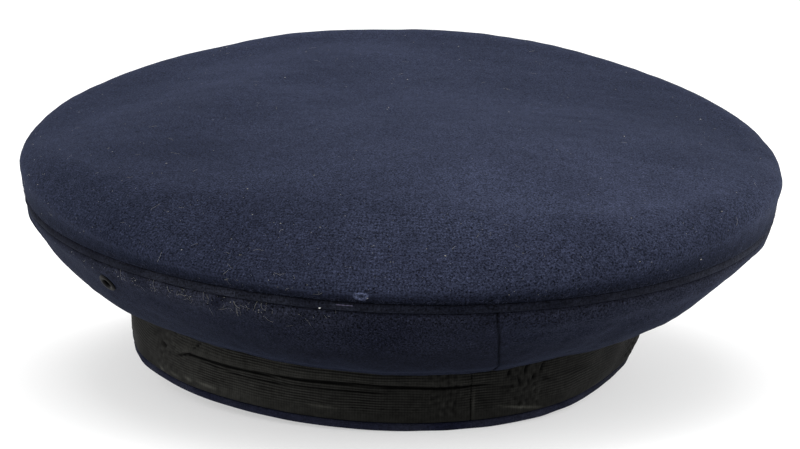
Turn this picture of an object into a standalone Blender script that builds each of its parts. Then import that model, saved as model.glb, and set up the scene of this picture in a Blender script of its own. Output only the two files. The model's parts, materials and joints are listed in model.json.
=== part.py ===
"""A soft visor cap: an oval cloth band with a ribbed braid, a wide sagging crown and a sloping visor.

The cap is modelled level, its band's lower edge in the plane z = 0, the visor toward -Y. An empty then
leans it back until it stands on the visor's edge and the back of the band, with the origin under the
middle of its box. Sizes are in millimetres; MM turns them into Blender's metres. Angles round the cap
start at +X and turn toward +Y. Distances "out" are measured from the braid's outer face, square to it.
"""

import math

import bmesh
import bpy
import numpy as np
from mathutils import Matrix

MM = 0.001
GAP = 0.3  # clearance between two pieces that touch
COLUMNS = 72  # steps round the cap
CLOTH = 2.0  # thickness of the crown's wool
SHARP_ANGLE = 40.0  # edges that turn more than this stay sharp in shading

# Band
BAND_HALF_WIDTH = 85.0  # the braid's outer face, along X
BAND_HALF_LENGTH = 100.0  # the same, along Y
BAND_HEIGHT = 29.0
BAND_CLOTH = 2.4
EDGE_HEIGHT = 2.5  # cloth that shows under the braid
EDGE_CHAMFER = 0.6

# Braid
BRAID_THICKNESS = 1.4
BRAID_CHAMFER = 0.3
BRAID_TOP_MARGIN = 1.7  # from its upper edge to the band's
BRAID_JOIN_ANGLE = 94.5
BRAID_JOIN_GAP = 0.4
CREASE_HEIGHT = 13.5
CREASE_DEPTH = 0.9
CREASE_HALF_HEIGHT = 1.6
CREASE_FROM, CREASE_TO = 93.0, 30.0  # the crease runs between these angles
CREASE_FADE = 14.0

# Crown
CROWN_OVERHANG_SIDES = 43.0  # its widest line outside the braid, along X
CROWN_OVERHANG_ENDS = 31.0  # the same, along Y
CROWN_SHIFT_X = -6.0  # it has slid this far to one side
CROWN_RISE = 24.8  # from the band's top to the seam between top and welt, on average
WELT_LINE_RISE = 3.6  # how much that seam's front is over the average and its back under it
FRONT_LIFT = 10.0
FRONT_PEAK_ANGLE = -108.6
FRONT_LIFT_POWER = 2.2
WELT_RADIUS = 1.5
WELT_INSET = 0.2  # its middle, inside the seam
WELT_GAP = 0.5  # over and under it
TOP_ROLL_HEIGHT = 10.0  # the top's wall, from the welt to the widest line
TOP_ROLL_OUT = 2.4  # the widest line, outside the seam
TOP_EDGE_HEIGHT = 6.6  # the rounded edge over it
TOP_EDGE_INSET = 12.0
TOP_DOME = 6.0
TOP_ROLL_STEPS = (0, 40, 90)  # degrees from the seam up to the widest line
TOP_EDGE_STEPS = (24, 48, 70, 90)  # and from there over the edge
SHOULDER_ANGLE = 68.0  # where the edge has sunk most, from a round to a long soft slope
SHOULDER_POWER = 2.5  # how sharply that ends to both sides
SHOULDER_INSET = 24.0  # what the slope adds there to TOP_EDGE_INSET
SHOULDER_RISE = 10.9  # and to TOP_EDGE_HEIGHT
SHOULDER_SINK = 6.5  # and takes from TOP_ROLL_HEIGHT
SHOULDER_FLATNESS = 0.7  # 0 keeps the edge's quarter round, 1 makes it a straight slope
TOP_SHARES = (0.86, 0.7, 0.54, 0.38, 0.2)  # rows across the top, as shares of its radius
TOP_FOLD_FADE_POWER = 6  # how sharply the folds die out toward the edge

# Side, which hangs over the braid in a fold
LIP_DROP = 9.0  # from the band's top to the fold's underside, at the back
LIP_FRONT_RISE = 3.0
LIP_SIDE_DROP = 3.0
LIP_SIDE_ANGLE = 170.0
LIP_OUT = 8.6  # how far out the fold reaches
LIP_ROUND = 3.2  # height of its rounding
HEM_INSET = 0.3  # from the band's inner face to the hem on its top
HEM_OUT = 0.6
SIDE_OUT_POWER = 1.2  # over 1, the side swells outward low down
SIDE_UP_POWER = 1.35
SIDE_TAUT_ANGLE = 178.0  # where the side runs straight, with no bulge
SIDE_HEAD_RISE = 1.6  # the upright strip under the welt
SIDE_SHARES = (0.15, 0.34, 0.56, 0.78, 1.0)  # rows up the side
SIDE_SWELL = 0.7
SEAM_LEAN = 9.0  # the back seam's foot stands this many degrees past its head

# The fold's good face: distance out as a share of LIP_OUT, height over its underside as a share of
# LIP_ROUND.
LIP_PATH = (
    # out, height
    (0.105, 1.00),
    (0.19, 0.32),
    (0.40, 0.03),
    (0.66, 0.02),
    (1.00, 0.53),
)

# Slow swells of the side, in and out.
SIDE_SWELLS = (
    # waves round the cap, angle of the first crest, height as a share of SIDE_SWELL
    (5, -4.0, 1.0),
    (9, -8.3, 0.65),
    (14, -0.7, 0.4),
)

# Soft ridges (height over 0) and hollows of the crown's top.
TOP_FOLD_HEIGHT = 2.4
TOP_FOLDS = (
    # x and y as shares of the crown's half width and length, half length and half width as shares of its
    # half width, angle of the long axis from +X, height as a share of TOP_FOLD_HEIGHT
    (0.33, -0.35, 0.66, 0.16, 49.0, 1.0),
    (0.68, -0.62, 0.34, 0.16, 52.0, -0.8),
    (0.02, -0.76, 0.20, 0.10, 10.0, -0.7),
    (-0.52, -0.20, 0.40, 0.22, 115.0, -0.5),
    (-0.10, 0.45, 0.55, 0.20, 5.0, 0.4),
)

# Vents
VENT_ANGLE = 30.0
VENT_SHARE = 0.85  # how far up the side
VENT_HOLE_RADIUS = 1.5
VENT_BARREL_RADIUS = 2.2
VENT_FLANGE_RADIUS = 3.2
VENT_FLANGE_HEIGHT = 0.6
VENT_ROUND = 0.4
VENT_STEPS = 12
VENT_CUTTER_LENGTH = 12.0

# Visor
VISOR_REACH = 38.0  # from the band to the edge, measured level
VISOR_END_REACH = 2.5
VISOR_HALF_ANGLE = 64.0
VISOR_THICKNESS = 2.2
VISOR_STEEPEST_SLOPE = 0.62  # drop per unit of reach toward the ends
VISOR_OUTLINE_POWER = 1.15  # under 1, the outline is fuller toward the ends
VISOR_ROOT_INSET = 0.5  # from each face of the band's lower edge to the root under it
VISOR_BOW = 1.6
VISOR_EDGE_ROUND = 0.6
VISOR_BEVEL_ANGLE = 50.0  # edges that turn more than this are rounded
VISOR_COLUMNS = 31
VISOR_SHARES = (0.14, 0.42, 0.72, 1.0)  # rows from the band to the edge
LEAN = 5.4  # degrees

# Sizes that follow from those above
BAND_OUTER = -BRAID_THICKNESS - GAP
BAND_INNER = BAND_OUTER - BAND_CLOTH
BRAID_TOP = BAND_HEIGHT - BRAID_TOP_MARGIN
HEM_HEIGHT = BAND_HEIGHT + GAP
CROWN_HALF_WIDTH = BAND_HALF_WIDTH + CROWN_OVERHANG_SIDES
CROWN_HALF_LENGTH = BAND_HALF_LENGTH + CROWN_OVERHANG_ENDS
VENT_SECTION = (
    # radius, height over the side's good face
    (VENT_HOLE_RADIUS, -CLOTH - GAP),
    (VENT_BARREL_RADIUS, -CLOTH - GAP),
    (VENT_BARREL_RADIUS, GAP),
    (VENT_FLANGE_RADIUS, GAP),
    (VENT_FLANGE_RADIUS - VENT_ROUND, GAP + VENT_FLANGE_HEIGHT),
    (VENT_HOLE_RADIUS + VENT_ROUND, GAP + VENT_FLANGE_HEIGHT),
    (VENT_HOLE_RADIUS, GAP + VENT_FLANGE_HEIGHT - VENT_ROUND),
)


def new_collection(name):
    made = bpy.data.collections.new(name)
    bpy.context.scene.collection.children.link(made)
    return made


def new_material(name, colour, roughness, metallic=0.0):
    made = bpy.data.materials.new(name)
    made.use_nodes = True
    shader = made.node_tree.nodes["Principled BSDF"]
    shader.inputs["Base Color"].default_value = (*colour, 1.0)
    shader.inputs["Roughness"].default_value = roughness
    shader.inputs["Metallic"].default_value = metallic
    made.diffuse_color = (*colour, 1.0)
    return made


def add_object(name, data, collection, material=None):
    made = bpy.data.objects.new(name, data)
    collection.objects.link(made)
    if material:
        data.materials.append(material)
    return made


def oval(angle, half_x, half_y, centre_x=0.0):
    """Points (x, y) of an oval at these angles."""
    return np.stack([centre_x + half_x * np.cos(angle), half_y * np.sin(angle)], -1)


def band_oval(angle, out):
    """Points (x, y) this far outside the braid's outer face, straight out from it."""
    x, y = np.cos(angle), np.sin(angle)
    normal = np.stack([x / BAND_HALF_WIDTH, y / BAND_HALF_LENGTH], -1)
    normal /= np.linalg.norm(normal, axis=-1, keepdims=True)
    return oval(angle, BAND_HALF_WIDTH, BAND_HALF_LENGTH) + normal * out


def crown_oval(angle, out):
    return oval(angle, CROWN_HALF_WIDTH + out, CROWN_HALF_LENGTH + out, CROWN_SHIFT_X)


def with_height(points, height):
    return np.concatenate([points, np.broadcast_to(height, points.shape[:-1])[..., None]], -1)


def welt_line(angle):
    """Height of the seam between the crown's top and the welt."""
    toward_peak = np.clip(np.cos(angle - math.radians(FRONT_PEAK_ANGLE)), 0, 1)
    lift = FRONT_LIFT * toward_peak**FRONT_LIFT_POWER
    return BAND_HEIGHT + CROWN_RISE - WELT_LINE_RISE * np.sin(angle) + lift


def lip_line(angle):
    """Height of the underside of the fold over the braid."""
    front = np.clip(-np.sin(angle), 0, 1)
    toward_side = np.clip(np.cos(angle - math.radians(LIP_SIDE_ANGLE)), 0, 1)
    return BAND_HEIGHT - LIP_DROP + LIP_FRONT_RISE * front**2 - LIP_SIDE_DROP * toward_side**3


def side_head_line(angle):
    return welt_line(angle) - 2 * (WELT_RADIUS + WELT_GAP)


def fold_height(x, y):
    """Height that the ridges and hollows add to the crown's top at (x, y)."""
    height = np.zeros_like(x)
    for u, v, half_length, half_width, turn, rise in TOP_FOLDS:
        c, s = math.cos(math.radians(turn)), math.sin(math.radians(turn))
        x_off = x - CROWN_SHIFT_X - u * CROWN_HALF_WIDTH
        y_off = y - v * CROWN_HALF_LENGTH
        along = (x_off * c + y_off * s) / (half_length * CROWN_HALF_WIDTH)
        across = (y_off * c - x_off * s) / (half_width * CROWN_HALF_WIDTH)
        height += rise * TOP_FOLD_HEIGHT * np.exp(-(along**2) - across**2)
    return height


def lip_points(angle, out, height):
    """Points of the fold's good face; out and height are shares, as in LIP_PATH."""
    return with_height(band_oval(angle, LIP_OUT * out), lip_line(angle) + LIP_ROUND * height)


def side_points(angle, share):
    """Good face of the crown's side, from share 0 at the fold to share 1 at the foot of its upright head."""
    low = lip_points(angle, *LIP_PATH[-1])
    high = with_height(crown_oval(angle, -TOP_ROLL_OUT), side_head_line(angle) - SIDE_HEAD_RISE)
    bulge = 1 - np.clip(np.cos(angle - math.radians(SIDE_TAUT_ANGLE)), 0, 1) ** 2
    out = 1 - (1 - share) ** (1 + (SIDE_OUT_POWER - 1) * bulge)
    up = share ** (1 + (SIDE_UP_POWER - 1) * bulge)
    points = low + (high - low) * np.stack([out, out, up], -1)
    swell = sum(rise * np.cos(waves * (angle - math.radians(crest))) for waves, crest, rise in SIDE_SWELLS)
    outward = with_height(oval(angle, 1, 1), 0.0)
    return points + outward * (SIDE_SWELL * swell * math.sin(math.pi * share))[..., None]


def finish_mesh(bm, name, collection, material):
    mesh = bpy.data.meshes.new(name)
    bm.to_mesh(mesh)
    bm.free()
    mesh.shade_smooth()
    mesh.set_sharp_from_angle(angle=math.radians(SHARP_ANGLE))
    return add_object(name, mesh, collection, material)


def loft(name, grid, collection, material, closed=False, tip=None, cap_ends=False):
    """A surface of quads through rows of points: grid[row][column].

    closed joins the last column to the first, tip is a point that closes the last row with a fan, and
    cap_ends closes what is still open with one face each.
    """
    rows, columns = grid.shape[:2]
    bm = bmesh.new()
    verts = [[bm.verts.new(point * MM) for point in row] for row in grid]
    pairs = [(c, (c + 1) % columns) for c in range(columns if closed else columns - 1)]
    for low, high in zip(verts, verts[1:]):
        for c, d in pairs:
            bm.faces.new((low[c], low[d], high[d], high[c]))
    if tip is not None:
        top = bm.verts.new(tip * MM)
        for c, d in pairs:
            bm.faces.new((verts[-1][c], verts[-1][d], top))
    if cap_ends:
        bmesh.ops.holes_fill(bm, edges=[edge for edge in bm.edges if edge.is_boundary])
        bmesh.ops.recalc_face_normals(bm, faces=bm.faces)
    return finish_mesh(bm, name, collection, material)


def thicken(obj, thickness):
    """Gives a sheet its thickness, on the side away from its good face."""
    made = obj.modifiers.new("thickness", "SOLIDIFY")
    made.thickness = thickness * MM
    made.offset = -1.0
    made.use_even_offset = True
    made.use_rim = True


def cut(obj, cutter):
    made = obj.modifiers.new("cut", "BOOLEAN")
    made.operation = "DIFFERENCE"
    made.solver = "EXACT"
    made.object = cutter


def crown_top(collection, material):
    """The top, from the seam up its wall, over the rounded or sloping edge and in to the middle."""
    angle = np.linspace(0, 2 * math.pi, COLUMNS, endpoint=False)
    welt = welt_line(angle)
    soft = np.clip(np.cos(angle - math.radians(SHOULDER_ANGLE)), 0, 1) ** SHOULDER_POWER
    wall = TOP_ROLL_HEIGHT - SHOULDER_SINK * soft
    inset, rise = TOP_EDGE_INSET + SHOULDER_INSET * soft, TOP_EDGE_HEIGHT + SHOULDER_RISE * soft
    power = 1 + SHOULDER_FLATNESS * soft
    rows = []
    for a in np.radians(TOP_ROLL_STEPS):
        flat = crown_oval(angle, (math.sin(a) - 1) * TOP_ROLL_OUT)
        rows.append(with_height(flat, welt + wall * math.sin(a)))
    for a in np.radians(TOP_EDGE_STEPS):
        flat = crown_oval(angle, inset * (max(math.cos(a), 0) ** power - 1))
        rows.append(with_height(flat, welt + wall + rise * math.sin(a) ** power))
    rim, height_at_rim = rows[-1][:, :2], rows[-1][:, 2]
    middle = np.array([CROWN_SHIFT_X, 0.0])
    level = welt.mean() + TOP_ROLL_HEIGHT + TOP_EDGE_HEIGHT + TOP_DOME
    for share in TOP_SHARES:
        flat = middle + (rim - middle) * share
        height = level + (height_at_rim - level) * share**2
        rows.append(with_height(flat, height + fold_height(*flat.T) * (1 - share**TOP_FOLD_FADE_POWER)))
    tip = np.array([*middle, level + fold_height(*middle)])
    top = loft("crown_top", np.array(rows), collection, material, closed=True, tip=tip)
    thicken(top, CLOTH)
    return top


def crown_side(name, back, front, collection, material):
    """Half of the side, from the back seam to the front one; back and front are their angles at the head."""
    turn = math.copysign(1, front - back)
    gap = GAP / 2 / BAND_HALF_LENGTH * turn
    back, front = math.radians(back) + gap, math.radians(front) - gap
    steps = np.linspace(0, 1, COLUMNS // 2 + 1)[:: int(turn)]
    lean = math.radians(SEAM_LEAN)

    def angles(share):
        start = back + lean * (1 - share)
        return start + (front - start) * steps

    foot = angles(0)
    hem = (BAND_INNER + HEM_INSET, -HEM_OUT, HEM_OUT)
    rows = [with_height(band_oval(foot, out), HEM_HEIGHT) for out in hem[:2]]
    rows.append(with_height(band_oval(foot, hem[2]), HEM_HEIGHT - HEM_OUT))
    rows += [lip_points(foot, out, height) for out, height in LIP_PATH]
    rows += [side_points(angles(share), share) for share in SIDE_SHARES]
    head = angles(1)
    rows.append(with_height(crown_oval(head, -TOP_ROLL_OUT), side_head_line(head)))
    side = loft(name, np.array(rows), collection, material)
    thicken(side, CLOTH)
    return side


def closed_curve(name, points, collection, material=None):
    """A curve through these points that ends where it starts."""
    curve = bpy.data.curves.new(name, "CURVE")
    curve.dimensions = "3D"
    curve.twist_mode = "Z_UP"
    spline = curve.splines.new("POLY")
    spline.points.add(len(points) - 1)
    for place, point in zip(spline.points, points):
        place.co = (*(point * MM), 1)
    spline.use_cyclic_u = True
    return add_object(name, curve, collection, material)


def crown_welt(collection, material):
    angle = np.linspace(0, 2 * math.pi, COLUMNS, endpoint=False)
    flat = crown_oval(angle, -TOP_ROLL_OUT - WELT_INSET)
    line = with_height(flat, welt_line(angle) - WELT_RADIUS - WELT_GAP)
    welt = closed_curve("crown_welt", line, collection, material)
    welt.data.bevel_depth = WELT_RADIUS * MM
    welt.data.bevel_resolution = 1
    return welt


def head_band(collection, helpers, material):
    """The band's section swept round its oval."""
    section = (
        # out, height
        (BAND_INNER, BAND_HEIGHT),
        (BAND_OUTER, BAND_HEIGHT),
        (BAND_OUTER, EDGE_HEIGHT),
        (-GAP, EDGE_HEIGHT),
        (-GAP, EDGE_CHAMFER),
        (-GAP - EDGE_CHAMFER, 0.0),
        (BAND_INNER, 0.0),
    )
    outline = np.array([(out, height, 0.0) for out, height in section])
    profile = closed_curve("band_section", outline, helpers)
    angle = np.linspace(0, 2 * math.pi, COLUMNS, endpoint=False)
    band = closed_curve("head_band", with_height(band_oval(angle, 0.0), 0.0), collection, material)
    band.data.bevel_mode = "OBJECT"
    band.data.bevel_object = profile
    return band


def mohair_braid(collection, material):
    """A strip round the band whose two ends nearly meet, with a crease pressed into part of it."""
    gap = BRAID_JOIN_GAP / 2 / BAND_HALF_LENGTH
    start = math.radians(BRAID_JOIN_ANGLE) + gap
    angle = np.linspace(start, start + 2 * (math.pi - gap), COLUMNS)
    into = np.clip((CREASE_FROM - np.degrees(angle - 2 * math.pi)) / CREASE_FADE, 0, 1)
    out_of = np.clip((np.degrees(angle - 2 * math.pi) - CREASE_TO) / CREASE_FADE, 0, 1)
    crease = -CREASE_DEPTH * into * out_of
    low, flat = EDGE_HEIGHT + GAP, np.zeros_like(angle)
    section = (
        # out, height
        (flat - BRAID_THICKNESS, low),
        (flat - BRAID_CHAMFER, low),
        (flat, low + BRAID_CHAMFER),
        (flat, CREASE_HEIGHT - CREASE_HALF_HEIGHT),
        (crease, CREASE_HEIGHT),
        (flat, CREASE_HEIGHT + CREASE_HALF_HEIGHT),
        (flat, BRAID_TOP - BRAID_CHAMFER),
        (flat - BRAID_CHAMFER, BRAID_TOP),
        (flat - BRAID_THICKNESS, BRAID_TOP),
    )
    grid = np.array([with_height(band_oval(angle, out[:, None]), height) for out, height in section])
    grid = grid.transpose(1, 0, 2)
    return loft("mohair_braid", grid, collection, material, closed=True, cap_ends=True)


def visor(collection, material):
    """A plate under the band's lower edge that slopes to an edge on the floor once the cap leans back."""
    spread = np.linspace(-1, 1, VISOR_COLUMNS)
    angle = math.radians(-90) + spread * math.radians(VISOR_HALF_ANGLE)
    outline = np.cos(spread * math.pi / 2) ** VISOR_OUTLINE_POWER
    reach = VISOR_END_REACH + (VISOR_REACH - VISOR_END_REACH) * outline
    root = -VISOR_THICKNESS - GAP
    root_outs = (BAND_INNER + VISOR_ROOT_INSET, -GAP - EDGE_CHAMFER)
    touch = BAND_HALF_LENGTH - GAP - EDGE_CHAMFER
    floor = (band_oval(angle, reach[:, None])[:, 1] - touch) * math.tan(math.radians(LEAN))
    edge = np.maximum(floor, root - VISOR_STEEPEST_SLOPE * reach)
    rows = [with_height(band_oval(angle, out), root) for out in root_outs]
    for share in VISOR_SHARES:
        flat = band_oval(angle, (reach * share)[:, None])
        bow = VISOR_BOW * math.sin(math.pi * share)
        rows.append(with_height(flat, root + (edge - root) * share + bow))
    plate = loft("visor", np.array(rows), collection, material)
    thicken(plate, VISOR_THICKNESS)
    rounded = plate.modifiers.new("edge", "BEVEL")
    rounded.width = VISOR_EDGE_ROUND * MM
    rounded.segments = 1
    rounded.limit_method = "ANGLE"
    rounded.angle_limit = math.radians(VISOR_BEVEL_ANGLE)
    return plate


def vent_place(angle):
    """The matrix that puts a vent made along +Z at the origin into the side, facing out."""
    step = 0.01
    centre, along, up = (
        side_points(np.array(math.radians(angle) + turn), VENT_SHARE + rise)
        for turn, rise in ((0, 0), (step, 0), (0, step))
    )
    x = (along - centre) / np.linalg.norm(along - centre)
    z = np.cross(x, up - centre)
    z /= np.linalg.norm(z)
    axes = np.stack([x, np.cross(z, x), z, centre * MM], 1)
    return Matrix([*axes.tolist(), [0, 0, 0, 1]])


def vent(name, side, angle, collection, helpers, material):
    """A small eyelet through the side, and the hole it stands in."""
    place = vent_place(angle)
    section = np.array(VENT_SECTION) * MM
    bm = bmesh.new()
    verts = [bm.verts.new((radius, 0, height)) for radius, height in section]
    for a, b in zip(verts, verts[1:] + verts[:1]):
        bm.edges.new((a, b))
    eyelet = finish_mesh(bm, name, collection, material)
    turned = eyelet.modifiers.new("turned", "SCREW")
    turned.steps = turned.render_steps = VENT_STEPS
    turned.use_merge_vertices = True
    turned.merge_threshold = 1e-5
    turned.use_normal_calculate = True
    turned.use_normal_flip = True
    eyelet.matrix_world = place

    bm = bmesh.new()
    radius = (VENT_BARREL_RADIUS + GAP) * MM
    depth = VENT_CUTTER_LENGTH * MM
    bmesh.ops.create_cone(bm, cap_ends=True, segments=VENT_STEPS, radius1=radius, radius2=radius, depth=depth)
    hole = finish_mesh(bm, name + "_hole", helpers, None)
    hole.matrix_world = place
    cut(side, hole)
    return eyelet


def stand(objects, helpers, collection):
    """Parents everything to an empty that leans it back and puts the origin under the middle of its box."""
    stance = add_object("stance", None, collection)
    for obj in (*objects, *helpers):
        obj.parent = stance
    stance.rotation_euler.x = -math.radians(LEAN)
    bpy.context.view_layer.update()
    graph = bpy.context.evaluated_depsgraph_get()
    points = []
    for obj in objects:
        shown = obj.evaluated_get(graph)
        mesh = shown.to_mesh()
        found = np.empty(len(mesh.vertices) * 3, np.float32)
        mesh.vertices.foreach_get("co", found)
        world = np.array(shown.matrix_world)
        points.append(found.reshape(-1, 3) @ world[:3, :3].T + world[:3, 3])
        shown.to_mesh_clear()
    points = np.concatenate(points)
    low, high = points.min(0), points.max(0)
    stance.location = (-(low[0] + high[0]) / 2, -(low[1] + high[1]) / 2, -low[2])


def main():
    for obj in list(bpy.data.objects):
        bpy.data.objects.remove(obj, do_unlink=True)
    cap = new_collection("visor_cap")
    helpers = new_collection("visor_cap_cutters")
    helpers.hide_render = True

    wool = new_material("navy_wool", (0.022, 0.03, 0.062), 0.95)
    cord = new_material("navy_welt", (0.018, 0.025, 0.052), 0.95)
    edge = new_material("navy_band", (0.02, 0.027, 0.056), 0.95)
    mohair = new_material("black_mohair", (0.012, 0.014, 0.013), 0.8)
    lacquer = new_material("black_lacquered_leather", (0.01, 0.01, 0.011), 0.22)
    brass = new_material("dark_brass", (0.16, 0.12, 0.06), 0.4, 1.0)

    left = crown_side("crown_side_left", 90, -90, cap, wool)
    right = crown_side("crown_side_right", 90, 270, cap, wool)
    pieces = [
        crown_top(cap, wool),
        left,
        right,
        crown_welt(cap, cord),
        head_band(cap, helpers, edge),
        mohair_braid(cap, mohair),
        visor(cap, lacquer),
        vent("vent_left", left, VENT_ANGLE, cap, helpers, brass),
        vent("vent_right", right, 180 - VENT_ANGLE, cap, helpers, brass),
    ]
    for helper in helpers.objects:
        helper.hide_render = True
        helper.display_type = "WIRE"
    stand(pieces, [helper for helper in helpers.objects if helper.name != "band_section"], cap)


main()
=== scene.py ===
# %% [markdown]
# # A navy visor cap, seen from behind
# The cap is a stiff oval band with a ribbed braid round it, a wide soft crown of heavy wool, a folded
# strip of cloth (the welt) in the seam between the crown's top and side, two small vents and a visor.
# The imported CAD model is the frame: it gives every place and size. Each soft solid of it is replaced here
# by a finer surface worked out from the same few sizes, so the looks never move away from the model.

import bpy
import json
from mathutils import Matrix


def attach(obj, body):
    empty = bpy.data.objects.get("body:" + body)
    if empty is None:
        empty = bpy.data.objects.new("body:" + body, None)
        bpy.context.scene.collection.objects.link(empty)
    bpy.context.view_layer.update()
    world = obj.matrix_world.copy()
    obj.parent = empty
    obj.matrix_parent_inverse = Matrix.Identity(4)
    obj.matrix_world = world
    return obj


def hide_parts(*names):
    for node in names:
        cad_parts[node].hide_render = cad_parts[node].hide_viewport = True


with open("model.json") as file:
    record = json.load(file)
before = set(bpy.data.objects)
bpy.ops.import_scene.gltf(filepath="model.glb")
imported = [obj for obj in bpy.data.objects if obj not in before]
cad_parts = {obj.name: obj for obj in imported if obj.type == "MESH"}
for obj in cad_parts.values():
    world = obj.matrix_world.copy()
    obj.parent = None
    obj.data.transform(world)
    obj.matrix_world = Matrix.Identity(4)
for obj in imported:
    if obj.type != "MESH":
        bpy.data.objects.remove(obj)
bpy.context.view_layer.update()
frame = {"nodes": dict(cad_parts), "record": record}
print("nodes:", sorted(frame["nodes"]))

# %% Modules and helpers for numbers
import json
import math

import bmesh
import bpy
import numpy as np
from mathutils import Vector

MM = 0.001  # every size below is in millimetres
TURN = 2 * math.pi


def linear(hex_colour):
    """A colour written as on the web, such as "20253d", turned from sRGB to linear values with alpha 1."""
    parts = np.array([int(hex_colour[i : i + 2], 16) for i in (0, 2, 4)]) / 255
    return (*np.where(parts <= 0.04045, parts / 12.92, ((parts + 0.055) / 1.055) ** 2.4), 1.0)


# %% [markdown]
# ## The cap's sizes
# A cap is measured from its band, because the band fits the head. These are the driving sizes of the CAD
# model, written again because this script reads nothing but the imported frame. "Out" is always measured
# from the braid's outer face, square to it, and angles turn from the wearer's left toward the back.

# %% Sizes
GAP = 0.3  # clearance between two pieces that touch
CLOTH = 2.0  # heavy wool with its canvas

BAND_HALF_WIDTH, BAND_HALF_LENGTH, BAND_HEIGHT = 85.0, 100.0, 29.0
BAND_CLOTH, EDGE_HEIGHT, EDGE_CHAMFER = 2.4, 2.5, 0.6
BRAID_THICKNESS, BRAID_TOP_MARGIN = 1.4, 1.7
BAND_OUTER = -BRAID_THICKNESS - GAP
BAND_INNER = BAND_OUTER - BAND_CLOTH
BRAID_TOP = BAND_HEIGHT - BRAID_TOP_MARGIN

CROWN_HALF_WIDTH, CROWN_HALF_LENGTH, CROWN_SHIFT_X = 128.0, 131.0, -6.0
CROWN_RISE, WELT_LINE_RISE = 24.8, 3.6
FRONT_LIFT, FRONT_PEAK_ANGLE, FRONT_LIFT_POWER = 10.0, -108.6, 2.2
WELT_RADIUS, WELT_GAP = 1.5, 0.5
TOP_ROLL_HEIGHT, TOP_ROLL_OUT = 10.0, 2.4
TOP_EDGE_HEIGHT, TOP_EDGE_INSET, TOP_DOME = 6.6, 12.0, 6.0

LIP_DROP, LIP_FRONT_RISE, LIP_SIDE_DROP, LIP_SIDE_ANGLE = 9.0, 3.0, 3.0, 170.0
LIP_OUT, LIP_ROUND = 8.6, 3.2
LIP_LIFTS = ((43, 20, 1.8), (118, 34, 1.2))  # where the fold has drawn up: degrees, half width, mm
LIP_PATH = ((0.105, 1.00), (0.19, 0.32), (0.40, 0.03), (0.66, 0.02), (1.00, 0.53))  # out, height
SIDE_OUT_POWER, SIDE_UP_POWER, SIDE_TAUT_ANGLE = 1.2, 1.35, 178.0
SIDE_HEAD_RISE, SIDE_SWELL, SEAM_LEAN = 1.6, 0.7, 7.2
SIDE_SWELLS = ((5, -4.0, 1.0), (9, -8.3, 0.65), (14, -0.7, 0.4))  # waves, first crest, height
TOP_FOLD_HEIGHT = 2.4
TOP_FOLDS = (
    # x, y, half length, half width, angle of the long axis, height
    (0.33, -0.35, 0.66, 0.16, 49.0, 1.0),
    (0.68, -0.62, 0.34, 0.16, 52.0, -0.8),
    (0.02, -0.76, 0.20, 0.10, 10.0, -0.7),
    (-0.52, -0.20, 0.40, 0.22, 115.0, -0.5),
    (-0.10, 0.45, 0.55, 0.20, 5.0, 0.4),
)

# %% [markdown]
# ## Where the cap stands
# The CAD model was built level and then leaned back until it stood on the visor's edge and the back of the
# band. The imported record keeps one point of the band's rim and its axis, and these give the lean and the
# place back, so nothing has to be fitted by eye.

# %% Lean and place
rim = frame["record"]["mounts"][0]
LEAN = math.asin(-rim["axis"][1])
RIM_RADIUS = BAND_HALF_WIDTH + (BAND_INNER - GAP - EDGE_CHAMFER) / 2
STANCE = np.array(rim["pos_m"]) / MM - (RIM_RADIUS, 0, 0)
print(f"lean {math.degrees(LEAN):.2f} degrees, stance {STANCE.round(2)} mm")


def to_row(points):
    """Points of the level cap, in mm, leaned back about X, moved to where the cap stands, in metres."""
    x, y, z = np.moveaxis(points, -1, 0)
    c, s = math.cos(LEAN), math.sin(LEAN)
    return (np.stack([x, y * c + z * s, z * c - y * s], -1) + STANCE) * MM


# %% [markdown]
# ## Surfaces from arrays
# Every soft piece is a grid of points, row by row, worked out for all columns at once. One function turns
# such a grid into a mesh. It also stores how far along and across the cloth each corner lies, in
# millimetres, as the piece's UV map, so that a weave can follow the cloth, and any other value of the
# points, such as how dusty they are, as a named attribute that the materials can read.

# %% Grid to mesh
def add_object(name, data):
    """An object at the origin with this data, linked into the scene."""
    made = bpy.data.objects.new(name, data)
    bpy.context.scene.collection.objects.link(made)
    return made


def arc_lengths(grid):
    """How far along its row and how far up its column each point lies, in mm, averaged to straight lines."""
    along = np.linalg.norm(np.diff(grid, axis=1), axis=-1).mean(0).cumsum()
    across = np.linalg.norm(np.diff(grid, axis=0), axis=-1).mean(1).cumsum()
    return np.meshgrid(np.append(0, along), np.append(0, across))


def add_mesh(name, points, corners, sizes, material, cloth=None, marks=None):
    """A smooth mesh from points in mm and faces given as one list of corners and one of face sizes."""
    mesh = bpy.data.meshes.new(name)
    mesh.vertices.add(len(points))
    mesh.vertices.foreach_set("co", to_row(points).astype(np.float32).ravel())
    mesh.loops.add(len(corners))
    mesh.loops.foreach_set("vertex_index", corners.astype(np.int32))
    mesh.polygons.add(len(sizes))
    mesh.polygons.foreach_set("loop_start", (np.cumsum(sizes) - sizes).astype(np.int32))
    mesh.update(calc_edges=True)
    mesh.shade_smooth()
    if cloth is not None:
        mesh.uv_layers.new(name="cloth").data.foreach_set("uv", cloth.astype(np.float32).ravel())
    for mark, values in (marks or {}).items():
        stored = mesh.attributes.new(mark, "FLOAT", "POINT")
        stored.data.foreach_set("value", values.astype(np.float32).ravel())
    mesh.materials.append(material)
    piece = add_object(name, mesh)
    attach(piece, "root")
    print(f"{name}: {len(points)} points, {len(sizes)} faces")
    return piece


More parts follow.
